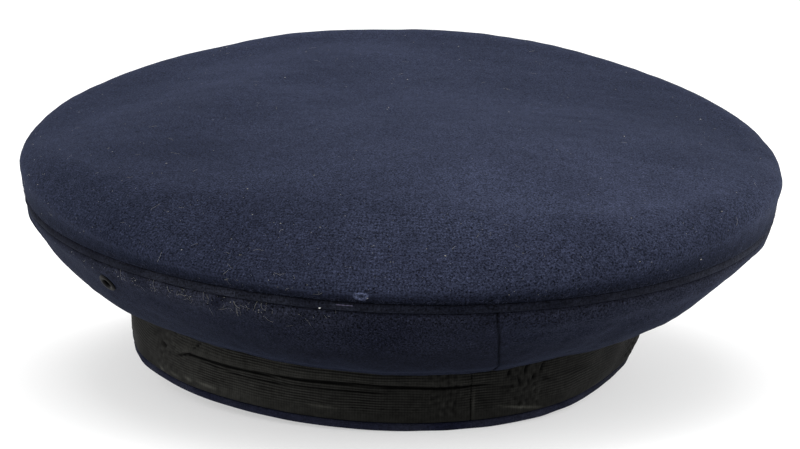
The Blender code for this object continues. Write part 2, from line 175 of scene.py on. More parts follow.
def add_surface(name, grid, material, marks=None, closed=False, loop=False, tip=None, hole=None):
    """A mesh of quads through grid[row][column].

    closed joins the last column to the first, loop joins the last row to the first, tip is a point that
    closes the last row with a fan, and hole, a centre and a radius, leaves out the quads round a point.
    """
    number = np.arange(grid.shape[0] * grid.shape[1]).reshape(grid.shape[:2])
    number = np.pad(number, ((0, int(loop)), (0, int(closed))), mode="wrap")
    cloth = np.stack(arc_lengths(np.pad(grid, ((0, int(loop)), (0, int(closed)), (0, 0)), mode="wrap")), -1)
    place = np.arange(number.size).reshape(number.shape)
    quads = np.stack([place[:-1, :-1], place[:-1, 1:], place[1:, 1:], place[1:, :-1]], -1).reshape(-1, 4)
    number, cloth, points = number.ravel(), cloth.reshape(-1, 2), grid.reshape(-1, 3)
    if hole is not None:
        middle = points[number[quads]].mean(1)
        quads = quads[np.linalg.norm(middle - hole[0], axis=1) > hole[1]]
    corners, cloths = number[quads].ravel(), cloth[quads].reshape(-1, 2)
    sizes = np.full(len(quads), 4)
    if tip is not None:
        low, high = place[-1, :-1], place[-1, 1:]
        points = np.concatenate([points, [tip]])
        fan = np.stack([number[low], number[high], np.full(len(low), len(points) - 1)], -1)
        far = (cloth[low] + cloth[high]) / 2 + (0, np.linalg.norm(grid[-1, 0] - tip))
        corners = np.concatenate([corners, fan.ravel()])
        cloths = np.concatenate([cloths, np.stack([cloth[low], cloth[high], far], 1).reshape(-1, 2)])
        sizes = np.concatenate([sizes, np.full(len(low), 3)])
        marks = {mark: np.append(values.ravel(), values[-1].mean()) for mark, values in (marks or {}).items()}
    return add_mesh(name, points, corners, sizes, material, cloths, marks)


def thicken(piece, thickness):
    """Gives a sheet its thickness, on the side away from its good face."""
    made = piece.modifiers.new("thickness", "SOLIDIFY")
    made.thickness = thickness * MM
    made.offset = -1.0
    made.use_rim = True


def cap_ends(piece):
    """Closes the two open ends of a piece that is a closed section carried along a line."""
    built = bmesh.new()
    built.from_mesh(piece.data)
    bmesh.ops.holes_fill(built, edges=[edge for edge in built.edges if edge.is_boundary])
    built.to_mesh(piece.data)
    built.free()


# %% [markdown]
# ## Curves through rows, and unevenness
# The CAD model gives a dozen rows up the cloth. A smooth curve through them, column by column, gives as
# many rows as the eye needs. Real cloth is never quite even, so a sum of long waves in random directions
# is laid over it: cheap to work out for whole arrays, and the same on every run.

# %% Smooth rows and ripples
def smooth_rows(rows, places):
    """Rows along curves through the given ones, at these shares of the whole length, 0 to 1.

    Each stretch is a cubic whose slope at a row is that of the line between the row's two neighbours.
    """
    rows = np.asarray(rows, float)
    steps = np.linalg.norm(np.diff(rows, axis=0), axis=-1).mean(1)
    known = np.concatenate([[0], np.cumsum(steps)])
    slope = np.gradient(rows, known, axis=0)
    at = np.asarray(places) * known[-1]
    low = np.clip(np.searchsorted(known, at, "right") - 1, 0, len(known) - 2)
    width = (known[low + 1] - known[low])[:, None, None]
    u = (at - known[low])[:, None, None] / width
    start = rows[low] * (1 + 2 * u) * (1 - u) ** 2 + slope[low] * width * u * (1 - u) ** 2
    end = rows[low + 1] * u**2 * (3 - 2 * u) + slope[low + 1] * width * u**2 * (u - 1)
    return start + end


def ripple(points, length, seed, waves=24):
    """A smooth uneven value, mostly within -1 and 1: waves about this long, in all directions, added up."""
    rng = np.random.default_rng(seed)
    direction = rng.normal(size=(waves, points.shape[-1]))
    direction *= (TURN / length * rng.uniform(0.7, 1.4, waves) / np.linalg.norm(direction, axis=1))[:, None]
    return np.cos(points @ direction.T + rng.uniform(0, TURN, waves)).sum(-1) / math.sqrt(waves)


def ripples(points, waves, seed):
    """Ripples of several lengths added up: waves gives the length and the height of each in mm."""
    return sum(height * ripple(points, length, seed + turn) for turn, (length, height) in enumerate(waves))


def bump(value, centre, half):
    """A hump of height 1 at the centre, which has died out two half-widths away."""
    return np.exp(-(((value - centre) / half) ** 2))


def step(value, start, end):
    """0 before start, 1 after end, and a smooth rise between. With start over end it falls instead."""
    share = np.clip((value - start) / (end - start), 0, 1)
    return share**2 * (3 - 2 * share)


def swells(degrees, level, table):
    """Long humps added up: middle in degrees, half width, level in mm, half height and rise of each."""
    return sum(
        rise * bump(degrees, middle, half) * bump(level, centre, half_level)
        for middle, half, centre, half_level, rise in table
    )


def unit(vectors):
    """Vectors of length 1 in the same directions."""
    return vectors / np.linalg.norm(vectors, axis=-1, keepdims=True)


def normals(grid, closed=False):
    """Unit normals of a grid: along the rows crossed with up the columns."""
    if closed:
        along = np.roll(grid, -1, 1) - np.roll(grid, 1, 1)
    else:
        along = np.gradient(grid, axis=1)
    return unit(np.cross(along, np.gradient(grid, axis=0)))


# %% [markdown]
# ## The cap's lines
# Everything hangs on a few lines round the cap: the band's oval, the crown's wider oval, which has slid a
# little to one side, the seam that rises toward the front, and the fold in which the side hangs over the
# braid.

# %% Lines round the cap
def oval(angle, half_x, half_y, centre_x=0.0):
    """Points (x, y) of an oval at these angles."""
    return np.stack([centre_x + half_x * np.cos(angle), half_y * np.sin(angle)], -1)


def band_oval(angle, out):
    """Points (x, y) this far outside the braid's outer face, straight out from it."""
    x, y = np.cos(angle), np.sin(angle)
    normal = unit(np.stack([x / BAND_HALF_WIDTH, y / BAND_HALF_LENGTH], -1))
    return oval(angle, BAND_HALF_WIDTH, BAND_HALF_LENGTH) + normal * np.asarray(out)[..., None]


def crown_oval(angle, out):
    """Points (x, y) this far outside the crown's widest line; out may differ from point to point."""
    return oval(angle, CROWN_HALF_WIDTH + out, CROWN_HALF_LENGTH + out, CROWN_SHIFT_X)


def with_height(points, height):
    """Points (x, y) with a height as their z; the height may differ from point to point."""
    return np.concatenate([points, np.broadcast_to(height, points.shape[:-1])[..., None]], -1)


def welt_line(angle):
    """Height of the seam between the crown's top and the welt."""
    toward_peak = np.clip(np.cos(angle - math.radians(FRONT_PEAK_ANGLE)), 0, 1)
    lift = FRONT_LIFT * toward_peak**FRONT_LIFT_POWER
    return BAND_HEIGHT + CROWN_RISE - WELT_LINE_RISE * np.sin(angle) + lift


def lip_line(angle):
    """Height of the underside of the fold over the braid."""
    front = np.clip(-np.sin(angle), 0, 1)
    toward_side = np.clip(np.cos(angle - math.radians(LIP_SIDE_ANGLE)), 0, 1)
    height = BAND_HEIGHT - LIP_DROP + LIP_FRONT_RISE * front**2 - LIP_SIDE_DROP * toward_side**3
    degrees = np.degrees(angle) % 360
    return height + sum(rise * bump(degrees, middle, half) for middle, half, rise in LIP_LIFTS)


def side_head_line(angle):
    """Height of the side's upper edge, across the welt from the top's."""
    return welt_line(angle) - 2 * (WELT_RADIUS + WELT_GAP)


print(f"seam height: {welt_line(np.radians([-90, 0, 90])).round(1)} mm at the front, side and back")

# %% [markdown]
# ## Camera
# The photograph was taken from behind and slightly to one side, ten degrees above the table, with a long
# lens. The place below was fitted so that the cap's outline falls on the photograph's, with no shift.

# %% Camera
CAMERA_PLACE, CAMERA_AIM = (0.18712, 0.81868, 0.19613), (-0.00113, 0.00327, 0.04722)  # metres
LENS_MM = 111.2625


def aim(made, place, target):
    """Puts a camera or a light in its place and turns it to face the target."""
    made.location = place
    made.rotation_euler = (Vector(target) - Vector(place)).to_track_quat("-Z", "Y").to_euler()


camera = add_object("camera", bpy.data.cameras.new("camera"))
camera.data.lens = LENS_MM
aim(camera, CAMERA_PLACE, CAMERA_AIM)
bpy.context.scene.camera = camera
print(f"camera with a lens of {LENS_MM:.0f} mm at {CAMERA_PLACE} m")

# %% [markdown]
# ## Node helpers
# A material is a small graph. One function adds a node with its settings and links and gives its output,
# which keeps each material below as one readable list. A number that is the same all over a surface is set
# on the shader's own socket.

# %% Node helpers
def set_inputs(node, inputs):
    """Gives each socket a value, or a link where the value is another node's output.

    inputs maps the sockets' names or numbers to values, or is a list of values for the first sockets.
    """
    for key, value in inputs.items() if isinstance(inputs, dict) else enumerate(inputs):
        if isinstance(value, bpy.types.NodeSocket):
            node.id_data.links.new(value, node.inputs[key])
        else:
            node.inputs[key].default_value = value


def add_node(tree, kind, inputs=(), output=0, **settings):
    """Adds a shader node with its settings and inputs, and gives its output of this name or number."""
    made = tree.nodes.new("ShaderNode" + kind)
    for name, value in settings.items():
        setattr(made, name, value)
    set_inputs(made, inputs)
    return made.outputs[output]


def new_material(name):
    """An empty material, its node tree and its Principled shader."""
    made = bpy.data.materials.new(name)
    made.use_nodes = True
    return made, made.node_tree, made.node_tree.nodes["Principled BSDF"]


def grains(width):
    """Scale of a noise on Object coordinates, which are in metres, with grains this many mm wide."""
    return 1 / (width * MM)


def mottled(name, width, detail, dark, light):
    """A finish whose tone wanders between two colours in patches this many mm wide.

    Gives the material, its tree, its shader and the patches, so that more can be hung on them.
    """
    made, tree, shader = new_material(name)
    place = add_node(tree, "TexCoord", output="Object")
    patches = add_node(tree, "TexNoise", {"Vector": place, "Scale": grains(width), "Detail": detail})
    colours = {0: patches, 6: linear(dark), 7: linear(light)}
    set_inputs(shader, {"Base Color": add_node(tree, "Mix", colours, output=2, data_type="RGBA")})
    return made, tree, shader, patches


# %% [markdown]
# ## Navy melton wool
# The crown is melton: heavy wool woven, then felted and shorn until its threads vanish under a short nap.
# The nap scatters light at grazing angles, which a little sheen gives, the same all over. Up close it is a
# mottle of fibres about half a millimetre wide, and the weave shows where the nap is worn off. This cap is
# old and was kept open, so pale dust lies over it. Painted shade darkens it, and thins the dust, where the
# cloth turns under at the seams and toward the fold over the braid, and on the wearer's left.

# %% Navy melton wool
THREAD_PITCH = 0.72  # mm from one thread to the next
WAVE_BAND = TURN / 20  # width of one band of a wave texture at scale 1
FIBRE, CLUMP, CLOUD = (0.5882, 3.0, 0.75), (3.125, 3.0, 0.6), (26.32, 4.0, 0.6)  # mm wide, detail, roughness
FLECKS_PER_MM = 2.4
STAIN, STAIN_RADIUS, STAIN_LINE = (0.0402, 0.1310, 0.0492), 2.2 * MM, 0.8 * MM  # metres
RING_STRETCH = (1.0, 1.0, 1.5)  # the ring of dirt, on the top's wall, is wider than high


def melton_wool(name, cloth, nap, sheen, contrast=0.5, flecks=0.2, stain=None):
    """Felted wool: a mottle of fibres, clumps and clouds, the weave where it is worn, flecks and dust.

    The points' value "bare" is high where the nap is worn off, so that the weave shows, "soil" darkens the
    wool as painted shade, and "dust" lays pale dust on it. stain is the middle, in metres, of a dried ring of
    dirt.
    """
    made, tree, shader = new_material(name)
    place = add_node(tree, "TexCoord", output="Object")
    threads = add_node(tree, "UVMap", uv_map="cloth")
    bare, painted_shade, dust = (
        add_node(tree, "Attribute", output="Fac", attribute_name=mark) for mark in ("bare", "painted_shade", "dust")
    )
    fibre, clump, cloud = (
        add_node(tree, "TexNoise", {
            "Vector": place, "Scale": grains(width), "Detail": detail, "Roughness": rough,
        })
        for width, detail, rough in (FIBRE, CLUMP, CLOUD)
    )
    fine = add_node(tree, "MapRange", (fibre, 0.36, 0.64, 1.0 - contrast, 1.0 + contrast))
    coarse = add_node(tree, "MapRange", (clump, 0.3, 0.7, 0.82, 1.18))
    tone = add_node(tree, "Math", (fine, coarse), operation="MULTIPLY")
    calm = add_node(tree, "Math", (bare, 0.25), operation="MULTIPLY")
    tone = add_node(tree, "Mix", {0: calm, 2: tone, 3: 1.0})
    worn = add_node(tree, "MapRange", (cloud, 0.5, 0.66, 0.04, 0.3))
    worn = add_node(tree, "Math", (bare, 0.42, worn), operation="MULTIPLY_ADD")
    for direction in "XY":
        thread = add_node(tree, "TexWave", {
            "Vector": threads, "Scale": WAVE_BAND / THREAD_PITCH, "Distortion": 1.2, "Detail": 1.0,
            "Detail Scale": 0.6,
        }, output="Fac", wave_type="BANDS", bands_direction=direction)
        ridge = add_node(tree, "Math", (thread, 0.5), operation="SUBTRACT")
        ridge = add_node(tree, "Math", (ridge, worn, 1.0), operation="MULTIPLY_ADD")
        tone = add_node(tree, "Math", (tone, ridge), operation="MULTIPLY")
    # painted shade: the points' "soil" value darkens the wool
    unshaded = add_node(tree, "Math", (1.0, painted_shade), operation="SUBTRACT")
    tone = add_node(tree, "Math", (tone, unshaded), operation="MULTIPLY")
    dyed, raised = (
        add_node(tree, "VectorMath", {0: linear(colour)[:3], "Scale": tone}, operation="SCALE")
        for colour in (cloth, nap)
    )
    film = add_node(tree, "MapRange", (cloud, 0.3, 0.7, 0.8, 1.2))
    film = add_node(tree, "Math", (film, dust), operation="MULTIPLY", use_clamp=True)
    hair = add_node(tree, "TexNoise", {
        "Vector": threads, "Scale": FLECKS_PER_MM, "Detail": 2.0, "Roughness": 0.8,
    })
    fleck = add_node(tree, "MapRange", (hair, 0.6, 0.74, 0.0, flecks))
    film = add_node(tree, "Math", (film, fleck), operation="ADD", use_clamp=True)
    if stain is not None:
        flat = add_node(tree, "VectorMath", (place, RING_STRETCH), operation="MULTIPLY")
        middle = np.multiply(stain, RING_STRETCH)
        away = add_node(tree, "VectorMath", (flat, middle), output="Value", operation="DISTANCE")
        away = add_node(tree, "Math", (away, STAIN_RADIUS), operation="SUBTRACT")
        away = add_node(tree, "Math", (away,), operation="ABSOLUTE")
        dirt = add_node(tree, "MapRange", (away, 0.0, STAIN_LINE, 0.42, 0.0))
        film = add_node(tree, "Math", (film, dirt), operation="ADD", use_clamp=True)
    set_inputs(shader, {
        "Base Color": add_node(tree, "Mix", {0: film, 6: dyed, 7: raised}, output=2, data_type="RGBA"),
        "Normal": add_node(tree, "Bump", {"Height": fibre, "Strength": 0.6, "Distance": 0.3 * MM}),
        "Roughness": 0.95,
        "Specular IOR Level": 0.04,
        "Sheen Weight": sheen,
        "Sheen Roughness": 0.4,
        "Sheen Tint": linear("7080ac"),
    })
    return made


wool = melton_wool("navy_melton_wool", "111420", "6e7697", sheen=0.14, contrast=0.9, flecks=0.24, stain=STAIN)
side_wool = melton_wool("navy_melton_wool_side", "0f111c", "6c7083", sheen=0.12, contrast=0.95, flecks=0.24)
welt_wool = melton_wool("navy_wool_welt", "0c0e17", "6c7080", sheen=0.05, contrast=0.8, flecks=0.1)
band_wool = melton_wool("navy_wool_band_edge", "121422", "6a6c74", sheen=0.05, flecks=0.05)
print("wools:", [made.name for made in (wool, side_wool, welt_wool, band_wool)])

# %% [markdown]
# ## Crown top
# The top is one large round of wool, drawn down over the edge of a hidden stiffener and sewn to the welt.
# A flat disc would miss the roll of its edge and the soft tent of its front, so the rows of the CAD model
# run from the seam up the wall, over the edge and in to the middle, and a curve is drawn through them.
# Below the seam the cloth turns in under itself, as a sewn seam does, which leaves one thin dark line.

# %% Crown top
TOP_COLUMNS, TOP_ROWS = 540, 88
SEAM_SINK = 0.95  # how far the visible cloth edges close in on the welt, which the CAD model leaves free
SEAM_ALLOWANCE = 6.0
SEAM_OUT_SHARE = 0.55  # how much of TOP_ROLL_OUT the seam keeps away from the soft shoulder
TOP_TURN_IN = ((SEAM_ALLOWANCE, 0.0), (2.0, 0.0), (0.8, 0.03), (0.2, 0.4))  # mm in from the seam, rise
TOP_ROLL_STEPS, TOP_EDGE_STEPS = (10, 40, 90), (15, 30, 45, 60, 75, 90)  # degrees round each curve
SHOULDER_ANGLE, SHOULDER_POWER = 68.0, 2.5  # where the shoulder is softest, and how fast that ends
SHOULDER_INSET, SHOULDER_DROP, SHOULDER_RISE, SHOULDER_FLAT = 24.0, 6.5, 10.9, 0.7
TOP_SHARES = (0.86, 0.7, 0.54, 0.38, 0.2, 0.02)  # of the way from the middle to the edge
TOP_RIPPLES = ((70, 0.3), (26, 0.1), (9, 0.05))  # length and height in mm
TOP_SLACK = ((-13, 13, 26, 16, -2.4), (154, 9, 10, 7, 1.0))  # as in swells: mm up from the seam


def fold_height(x, y):
    """Height that the ridges and hollows add to the crown's top at (x, y): a sum of long soft humps."""
    height = np.zeros_like(x)
    for u, v, half_length, half_width, turn, rise in TOP_FOLDS:
        c, s = math.cos(math.radians(turn)), math.sin(math.radians(turn))
        x_off, y_off = x - CROWN_SHIFT_X - u * CROWN_HALF_WIDTH, y - v * CROWN_HALF_LENGTH
        along = (x_off * c + y_off * s) / (half_length * CROWN_HALF_WIDTH)
        across = (y_off * c - x_off * s) / (half_width * CROWN_HALF_WIDTH)
        height += rise * TOP_FOLD_HEIGHT * np.exp(-(along**2) - across**2)
    return height


def crown_top_grid():
    """The top: the turned-in allowance, the seam, the wall, the rounded edge and the rows to the middle."""
    angle = np.linspace(0, TURN, TOP_COLUMNS, endpoint=False)
    welt = welt_line(angle)
    soft = np.clip(np.cos(angle - math.radians(SHOULDER_ANGLE)), 0, 1) ** SHOULDER_POWER
    roll = TOP_ROLL_OUT * (SEAM_OUT_SHARE + (1 - SEAM_OUT_SHARE) * soft)
    rows = [with_height(crown_oval(angle, -roll - out), welt - SEAM_SINK + rise) for out, rise in TOP_TURN_IN]
    wall, power = TOP_ROLL_HEIGHT - SHOULDER_DROP * soft, 1 + SHOULDER_FLAT * soft
    inset, rise = TOP_EDGE_INSET + SHOULDER_INSET * soft, TOP_EDGE_HEIGHT + SHOULDER_RISE * soft
    for a in np.radians(TOP_ROLL_STEPS):
        rows.append(with_height(crown_oval(angle, (math.sin(a) - 1) * roll), welt + wall * math.sin(a)))
    for a in np.radians(TOP_EDGE_STEPS):
        out = inset * (np.cos(a).clip(0) ** power - 1)
        rows.append(with_height(crown_oval(angle, out), welt + wall + rise * np.sin(a) ** power))
    edge, middle = rows[-1], np.array([CROWN_SHIFT_X, 0.0])
    level = welt.mean() + TOP_ROLL_HEIGHT + TOP_EDGE_HEIGHT + TOP_DOME
    for share in TOP_SHARES:
        flat = middle + (edge[:, :2] - middle) * share
        height = level + (edge[:, 2] - level) * share**2
        rows.append(with_height(flat, height + fold_height(*flat.T) * (1 - share**6)))
    grid = smooth_rows(rows, np.linspace(0, 1, TOP_ROWS) ** 1.5)
    up = arc_lengths(grid)[1] - SEAM_ALLOWANCE  # distance from the seam, up the cloth
    slow = ripples(grid, TOP_RIPPLES, seed=1) + swells((np.degrees(angle) + 180) % 360 - 180, up, TOP_SLACK)
    puckers = 0.1 * ripple(grid, 5, seed=4) * np.exp(-np.abs(up) / 5) + 0.1 * bump(up, 2.0, 1.4)
    raised = slow * step(up, 0, 14) + puckers * step(up, 0.3, 2.0)
    tip = np.array([*middle, level + fold_height(*middle)])
    return grid + normals(grid, closed=True) * raised[..., None], tip, angle, up


def top_wear(grid, angle, up):
    """How dusty, how darkened by painted shade and how bare each point is: sums of soft humps."""
    x, y = grid[..., 0], grid[..., 1]
    dust = 0.03 + 0.02 * bump(x, -12, 62) + 0.008 * ripple(grid, 50, seed=5) + 0.025 * bump(y, 85, 45)
    dust -= 0.018 * bump(x, 85, 45) * bump(y, 85, 60)
    dust *= 0.2 + 0.8 * step(up, 1, 9)  # painted shade: less dust where the cloth turns under
    dust += 0.022 * bump(x, -45, 80) * step(y, 10, 90) * step(up, 4, 14)
    # painted shade on the lowest 9 mm of the wall and in the seam, where the cloth turns under
    painted_shade = 0.4 * step(up, 9, 0) + 0.3 * step(up, 1.0, 0.3)
    bare = bump(np.degrees(angle), 52, 22) * step(up, 1, 3) * step(up, 20, 6)
    bare *= np.clip(0.7 + 0.5 * ripple(grid, 12, seed=6), 0, 1)
    return {"dust": np.clip(dust, 0, 1), "painted_shade": painted_shade, "bare": bare}


top_grid, top_tip, top_angle, top_up = crown_top_grid()
top_marks = top_wear(top_grid, top_angle, top_up)
top = add_surface("crown_top_wool", top_grid, wool, top_marks, closed=True, tip=top_tip)
thicken(top, CLOTH)
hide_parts("crown_top")

# %% [markdown]
# ## Crown side
# The side is two long pieces that meet in a seam at the back and one at the front. Each starts on top of
# the band, folds down over the braid and swells out and up to the welt. The seam is a shallow valley,
# because the two edges are turned in and sewn, and it wanders a little, as hand-guided sewing does.
# Painted shade darkens the side toward the fold, in its seams and on the wearer's left.

# %% Crown side
SIDE_COLUMNS, SIDE_ROWS = 520, 76
SIDE_SHARES = (0.15, 0.34, 0.56, 0.78, 1.0)  # of the way from the fold to the upright head
BACK_SEAM, FRONT_SEAMS = 90, {"left": -90, "right": 270}  # degrees
VENT_ANGLES, VENT_SHARE, VENT_HOLE = {"left": 30.0, "right": 150.0}, 0.85, 2.6
VENT_FLAT = (3.4, 9.0)  # mm from a vent's middle: flat cloth ends, and full swells begin
HEM_ROUND = 0.6  # where the hem turns over the top of the braid
SEAM_LEAN_POWER = 1.12
SEAM_WANDER, SEAM_SWING = 0.12, 9  # degrees to each side; radians from fold to top
SEAM_LAP = 0.05  # mm by which the two pieces press on each other in the seam
COLUMN_CROWDING = 0.14  # how much the columns crowd toward the seams
SIDE_SLACK = (
    # middle in degrees, half width, mm below the seam, half height, how far out in mm
    (8, 20, 6, 7, -0.9),
    (148, 8, 5, 7, -1.6),
    (123, 15, 22, 11, 1.2),
    (180, 22, 16, 10, -1.0),
)
SIDE_RIPPLES, SIDE_SEED = ((40, 0.25), (15, 0.1), (6, 0.05)), 11  # length and height in mm
SIDE_TURN_IN = ((0.0, -0.6), (0.35, -0.1), (1.6, 0.0), (SEAM_ALLOWANCE, 0.0))  # mm in from the seam, rise
SEAM_TUCK = 2.5  # how far the turned-in edges reach behind the seam
# painted shade on each half of the side, more on the wearer's left
SIDE_PAINTED_SHADE = {"left": 0.15, "right": 0.05}


def side_points(angle, share):
    """Good face of the side, from share 0 at the fold to share 1 at the foot of its upright head."""
    lip_out, lip_rise = LIP_PATH[-1]
    low = with_height(band_oval(angle, LIP_OUT * lip_out), lip_line(angle) + LIP_ROUND * lip_rise)
    high = with_height(crown_oval(angle, -TOP_ROLL_OUT), side_head_line(angle) - SIDE_HEAD_RISE)
    bulge = 1 - np.clip(np.cos(angle - math.radians(SIDE_TAUT_ANGLE)), 0, 1) ** 2
    out = 1 - (1 - share) ** (1 + (SIDE_OUT_POWER - 1) * bulge)
    up = share ** (1 + (SIDE_UP_POWER - 1) * bulge)
    points = low + (high - low) * np.stack([out, out, up], -1)
    swell = sum(rise * np.cos(waves * (angle - math.radians(crest))) for waves, crest, rise in SIDE_SWELLS)
    outward = with_height(oval(angle, 1, 1), 0.0)
    return points + outward * (SIDE_SWELL * swell * math.sin(math.pi * share))[..., None]


def crown_side_grid(front, vent_centre):
    """Half of the side, from the hem on the band's top, round the fold and up to the welt.

    Gives the grid, the angle of each column's foot in degrees, and how far each point lies under the welt's
    seam and from the nearer of the two upright seams, in mm.
    """
    turn = math.copysign(1, front - BACK_SEAM)
    lap = SEAM_LAP / BAND_HALF_LENGTH * turn
    back, front = math.radians(BACK_SEAM) - lap, math.radians(front) + lap
    steps = np.linspace(0, 1, SIDE_COLUMNS)[:: int(turn)]
    steps = steps - COLUMN_CROWDING * np.sin(TURN * steps)
    lean, wander = math.radians(SEAM_LEAN), math.radians(SEAM_WANDER)

    def angles(share):
        start = back + lean * (1 - share) ** SEAM_LEAN_POWER + wander * math.sin(SEAM_SWING * share)
        return start + (front - start) * steps

    foot, head = angles(0), angles(1)
    rows = [with_height(band_oval(foot, out), BAND_HEIGHT + GAP) for out in (BAND_INNER + GAP, -HEM_ROUND)]
    rows.append(with_height(band_oval(foot, HEM_ROUND), BAND_HEIGHT + GAP - HEM_ROUND))
    for out, height in LIP_PATH:
        rows.append(with_height(band_oval(foot, LIP_OUT * out), lip_line(foot) + LIP_ROUND * height))
    rows += [side_points(angles(share), share) for share in SIDE_SHARES]
    top_line = side_head_line(head) + SEAM_SINK
    for out, rise in SIDE_TURN_IN:
        rows.append(with_height(crown_oval(head, -TOP_ROLL_OUT - out), top_line + rise))
    grid = smooth_rows(rows, np.linspace(0, 1, SIDE_ROWS))
    along, up = arc_lengths(grid)
    down = up[-1, 0] - SEAM_ALLOWANCE - up
    ends = np.minimum(along, along[:, -1:] - along)
    seam = 0.1 * bump(ends, 2.6, 1.6) - 0.4 * bump(ends, 0, 0.45)  # a low ridge beside a narrow valley
    seam[:, [0, -1]] -= SEAM_TUCK
    slow = ripples(grid, SIDE_RIPPLES, SIDE_SEED) + swells(np.degrees(head) % 360, down, SIDE_SLACK)
    raised = slow * step(down, 0, 6) * step(up, 4, 12) + 0.1 * bump(down, 1.6, 1.2)
    raised = raised * step(np.linalg.norm(grid - vent_centre, axis=-1), *VENT_FLAT) + seam
    return grid + normals(grid) * raised[..., None], np.degrees(foot), down, ends


def side_wear(grid, degrees, down, ends, half_shade):
    """How dusty each point is, and how darkened by painted shade: on the wearer's left, toward the fold and
    in the seams.
    """
    dust = 0.01 + 0.005 * ripple(grid, 30, seed=14) + 0.02 * bump(down, 0, 5)
    dust += 0.04 * bump(down, 1, 5) * bump(degrees, 52, 17) * (1 + ripple(grid, 9, seed=15))
    # painted light: paler on the right end, just under the welt
    dust += 0.03 * bump(degrees, 140, 24) * step(down, 22, 8)
    # painted shade toward the fold and in the seam under the welt, then on the wearer's left and in the
    # upright seams
    painted_shade = 0.35 * step(down, 12, 26) + 0.5 * bump(down, 0, 0.5) * step(down, 26, 10)
    painted_shade += half_shade * step(np.abs(degrees - 90), 165, 110) * step(degrees, -5, 20)
    painted_shade += 0.7 * bump(ends, 0, 0.5)
    return {"dust": np.clip(dust, 0, 1), "painted_shade": np.clip(painted_shade, 0, 0.95)}


sides = {}
for name, front in FRONT_SEAMS.items():
    vent_centre = side_points(np.radians(VENT_ANGLES[name]), VENT_SHARE)
    side_grid, side_degrees, down, ends = sides[name] = crown_side_grid(front, vent_centre)
    marks = side_wear(side_grid, side_degrees, down, ends, SIDE_PAINTED_SHADE[name])
    side = add_surface(f"crown_side_{name}_wool", side_grid, side_wool, marks, hole=(vent_centre, VENT_HOLE))
    thicken(side, CLOTH)
    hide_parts(f"crown_side_{name}")

# %% [markdown]
# ## Welt
# The welt is a strip of the same wool folded over a cord and caught in the seam. A plain tube would look
# like wire, so its section is a little taller than deep, and its thickness and place waver along it.

# %% Welt
WELT_COLUMNS, WELT_SIDES = 1000, 20
WELT_OUT, WELT_DEPTH = -2.9, 1.3  # place of its middle from the crown's widest line, and half depth
WELT_HALF_HEIGHT = WELT_RADIUS + WELT_GAP - SEAM_SINK + 0.35  # pressed between the two edges


def welt_grid():
    """The welt: its oval section carried round the seam, a little uneven.

    Gives the grid, the angle of each column in degrees, and how high each row lies on it, from -1 to 1.
    """
    angle = np.linspace(0, TURN, WELT_COLUMNS, endpoint=False)
    around = np.linspace(0, TURN, WELT_SIDES, endpoint=False)[:, None]
    height = welt_line(angle) - WELT_RADIUS - WELT_GAP
    line = with_height(crown_oval(angle, WELT_OUT), height)
    uneven = 1 + 0.06 * ripple(line, 14, seed=31) + 0.03 * ripple(line, 4, seed=32)
    out = WELT_DEPTH * uneven * np.cos(around) * (1 + 0.2 * np.sin(around) ** 2)
    flat = crown_oval(angle, WELT_OUT) + oval(angle, 1, 1) * out[..., None]
    return with_height(flat, height + WELT_HALF_HEIGHT * np.sin(around)), np.degrees(angle), np.sin(around)


welt_points, welt_degrees, welt_rise = welt_grid()
welt_dust = 0.02 + 0.03 * bump(welt_degrees, 52, 15) + 0.05 * bump(welt_degrees, 138, 20)
welt_dust = np.clip(welt_dust + 0.01 * ripple(welt_points, 12, seed=33), 0, 1)
welt_painted_shade = np.broadcast_to(0.1 + 0.6 * step(np.abs(welt_rise), 0.75, 0.98), welt_dust.shape)
welt_marks = {"dust": welt_dust, "painted_shade": welt_painted_shade}  # painted shade where the welt meets the two edges
welt = add_surface("crown_welt_cloth", welt_points, welt_wool, welt_marks, closed=True, loop=True)
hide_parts("crown_welt")

# %% [markdown]
# ## Head band
# The band is a stiff oval wall covered in wool, which shows only as a narrow edge under the braid. Its
# section is drawn once, with a rounded lower edge, and carried round the oval.

# %% Head band
BAND_COLUMNS = 720
BAND_SWELLS = (
    # as in swells: mm above the band's lower edge, and how far out
    (28.0, 14.0, 6.0, 9.0, 1.7),
    (11.0, 9.0, 2.0, 7.0, 1.4),
    (160.0, 13.0, 9.0, 7.0, 3.2),
    (137.0, 17.0, 0.0, 6.0, -2.3),
)


def band_swell(angle, height):
    """How far wear has pushed the band and its braid out of the even oval."""
    return swells(np.degrees(angle) % 360, height, BAND_SWELLS)


def head_band_grid():
    """The band's section swept round its oval."""
    angle = np.linspace(0, TURN, BAND_COLUMNS, endpoint=False)
    turn = np.linspace(0, math.pi / 2, 5)
    face, round_low, round_high, chamfer = -GAP, EDGE_CHAMFER * 1.3, 0.7, 0.4
    section = [(BAND_INNER, chamfer), (BAND_INNER + chamfer, 0.0)]
    section += [(face - round_low * (1 - math.sin(a)), round_low * (1 - math.cos(a))) for a in turn]
    section += [
        (face - round_high * (1 - math.cos(a)), EDGE_HEIGHT - round_high * (1 - math.sin(a))) for a in turn
    ]
    section += [(BAND_OUTER, EDGE_HEIGHT), (BAND_OUTER, BAND_HEIGHT), (BAND_INNER, BAND_HEIGHT)]
    grid = np.array([with_height(band_oval(angle, out + band_swell(angle, h)), h) for out, h in section])
    worn = 0.05 * ripple(grid, 12, seed=41) * step(grid[..., 2], EDGE_HEIGHT + 0.1, EDGE_HEIGHT - 0.1)
    return grid + normals(grid, closed=True) * worn[..., None]


band_grid = head_band_grid()
band_dust = np.clip(0.03 + 0.02 * ripple(band_grid, 20, seed=42), 0, 1)
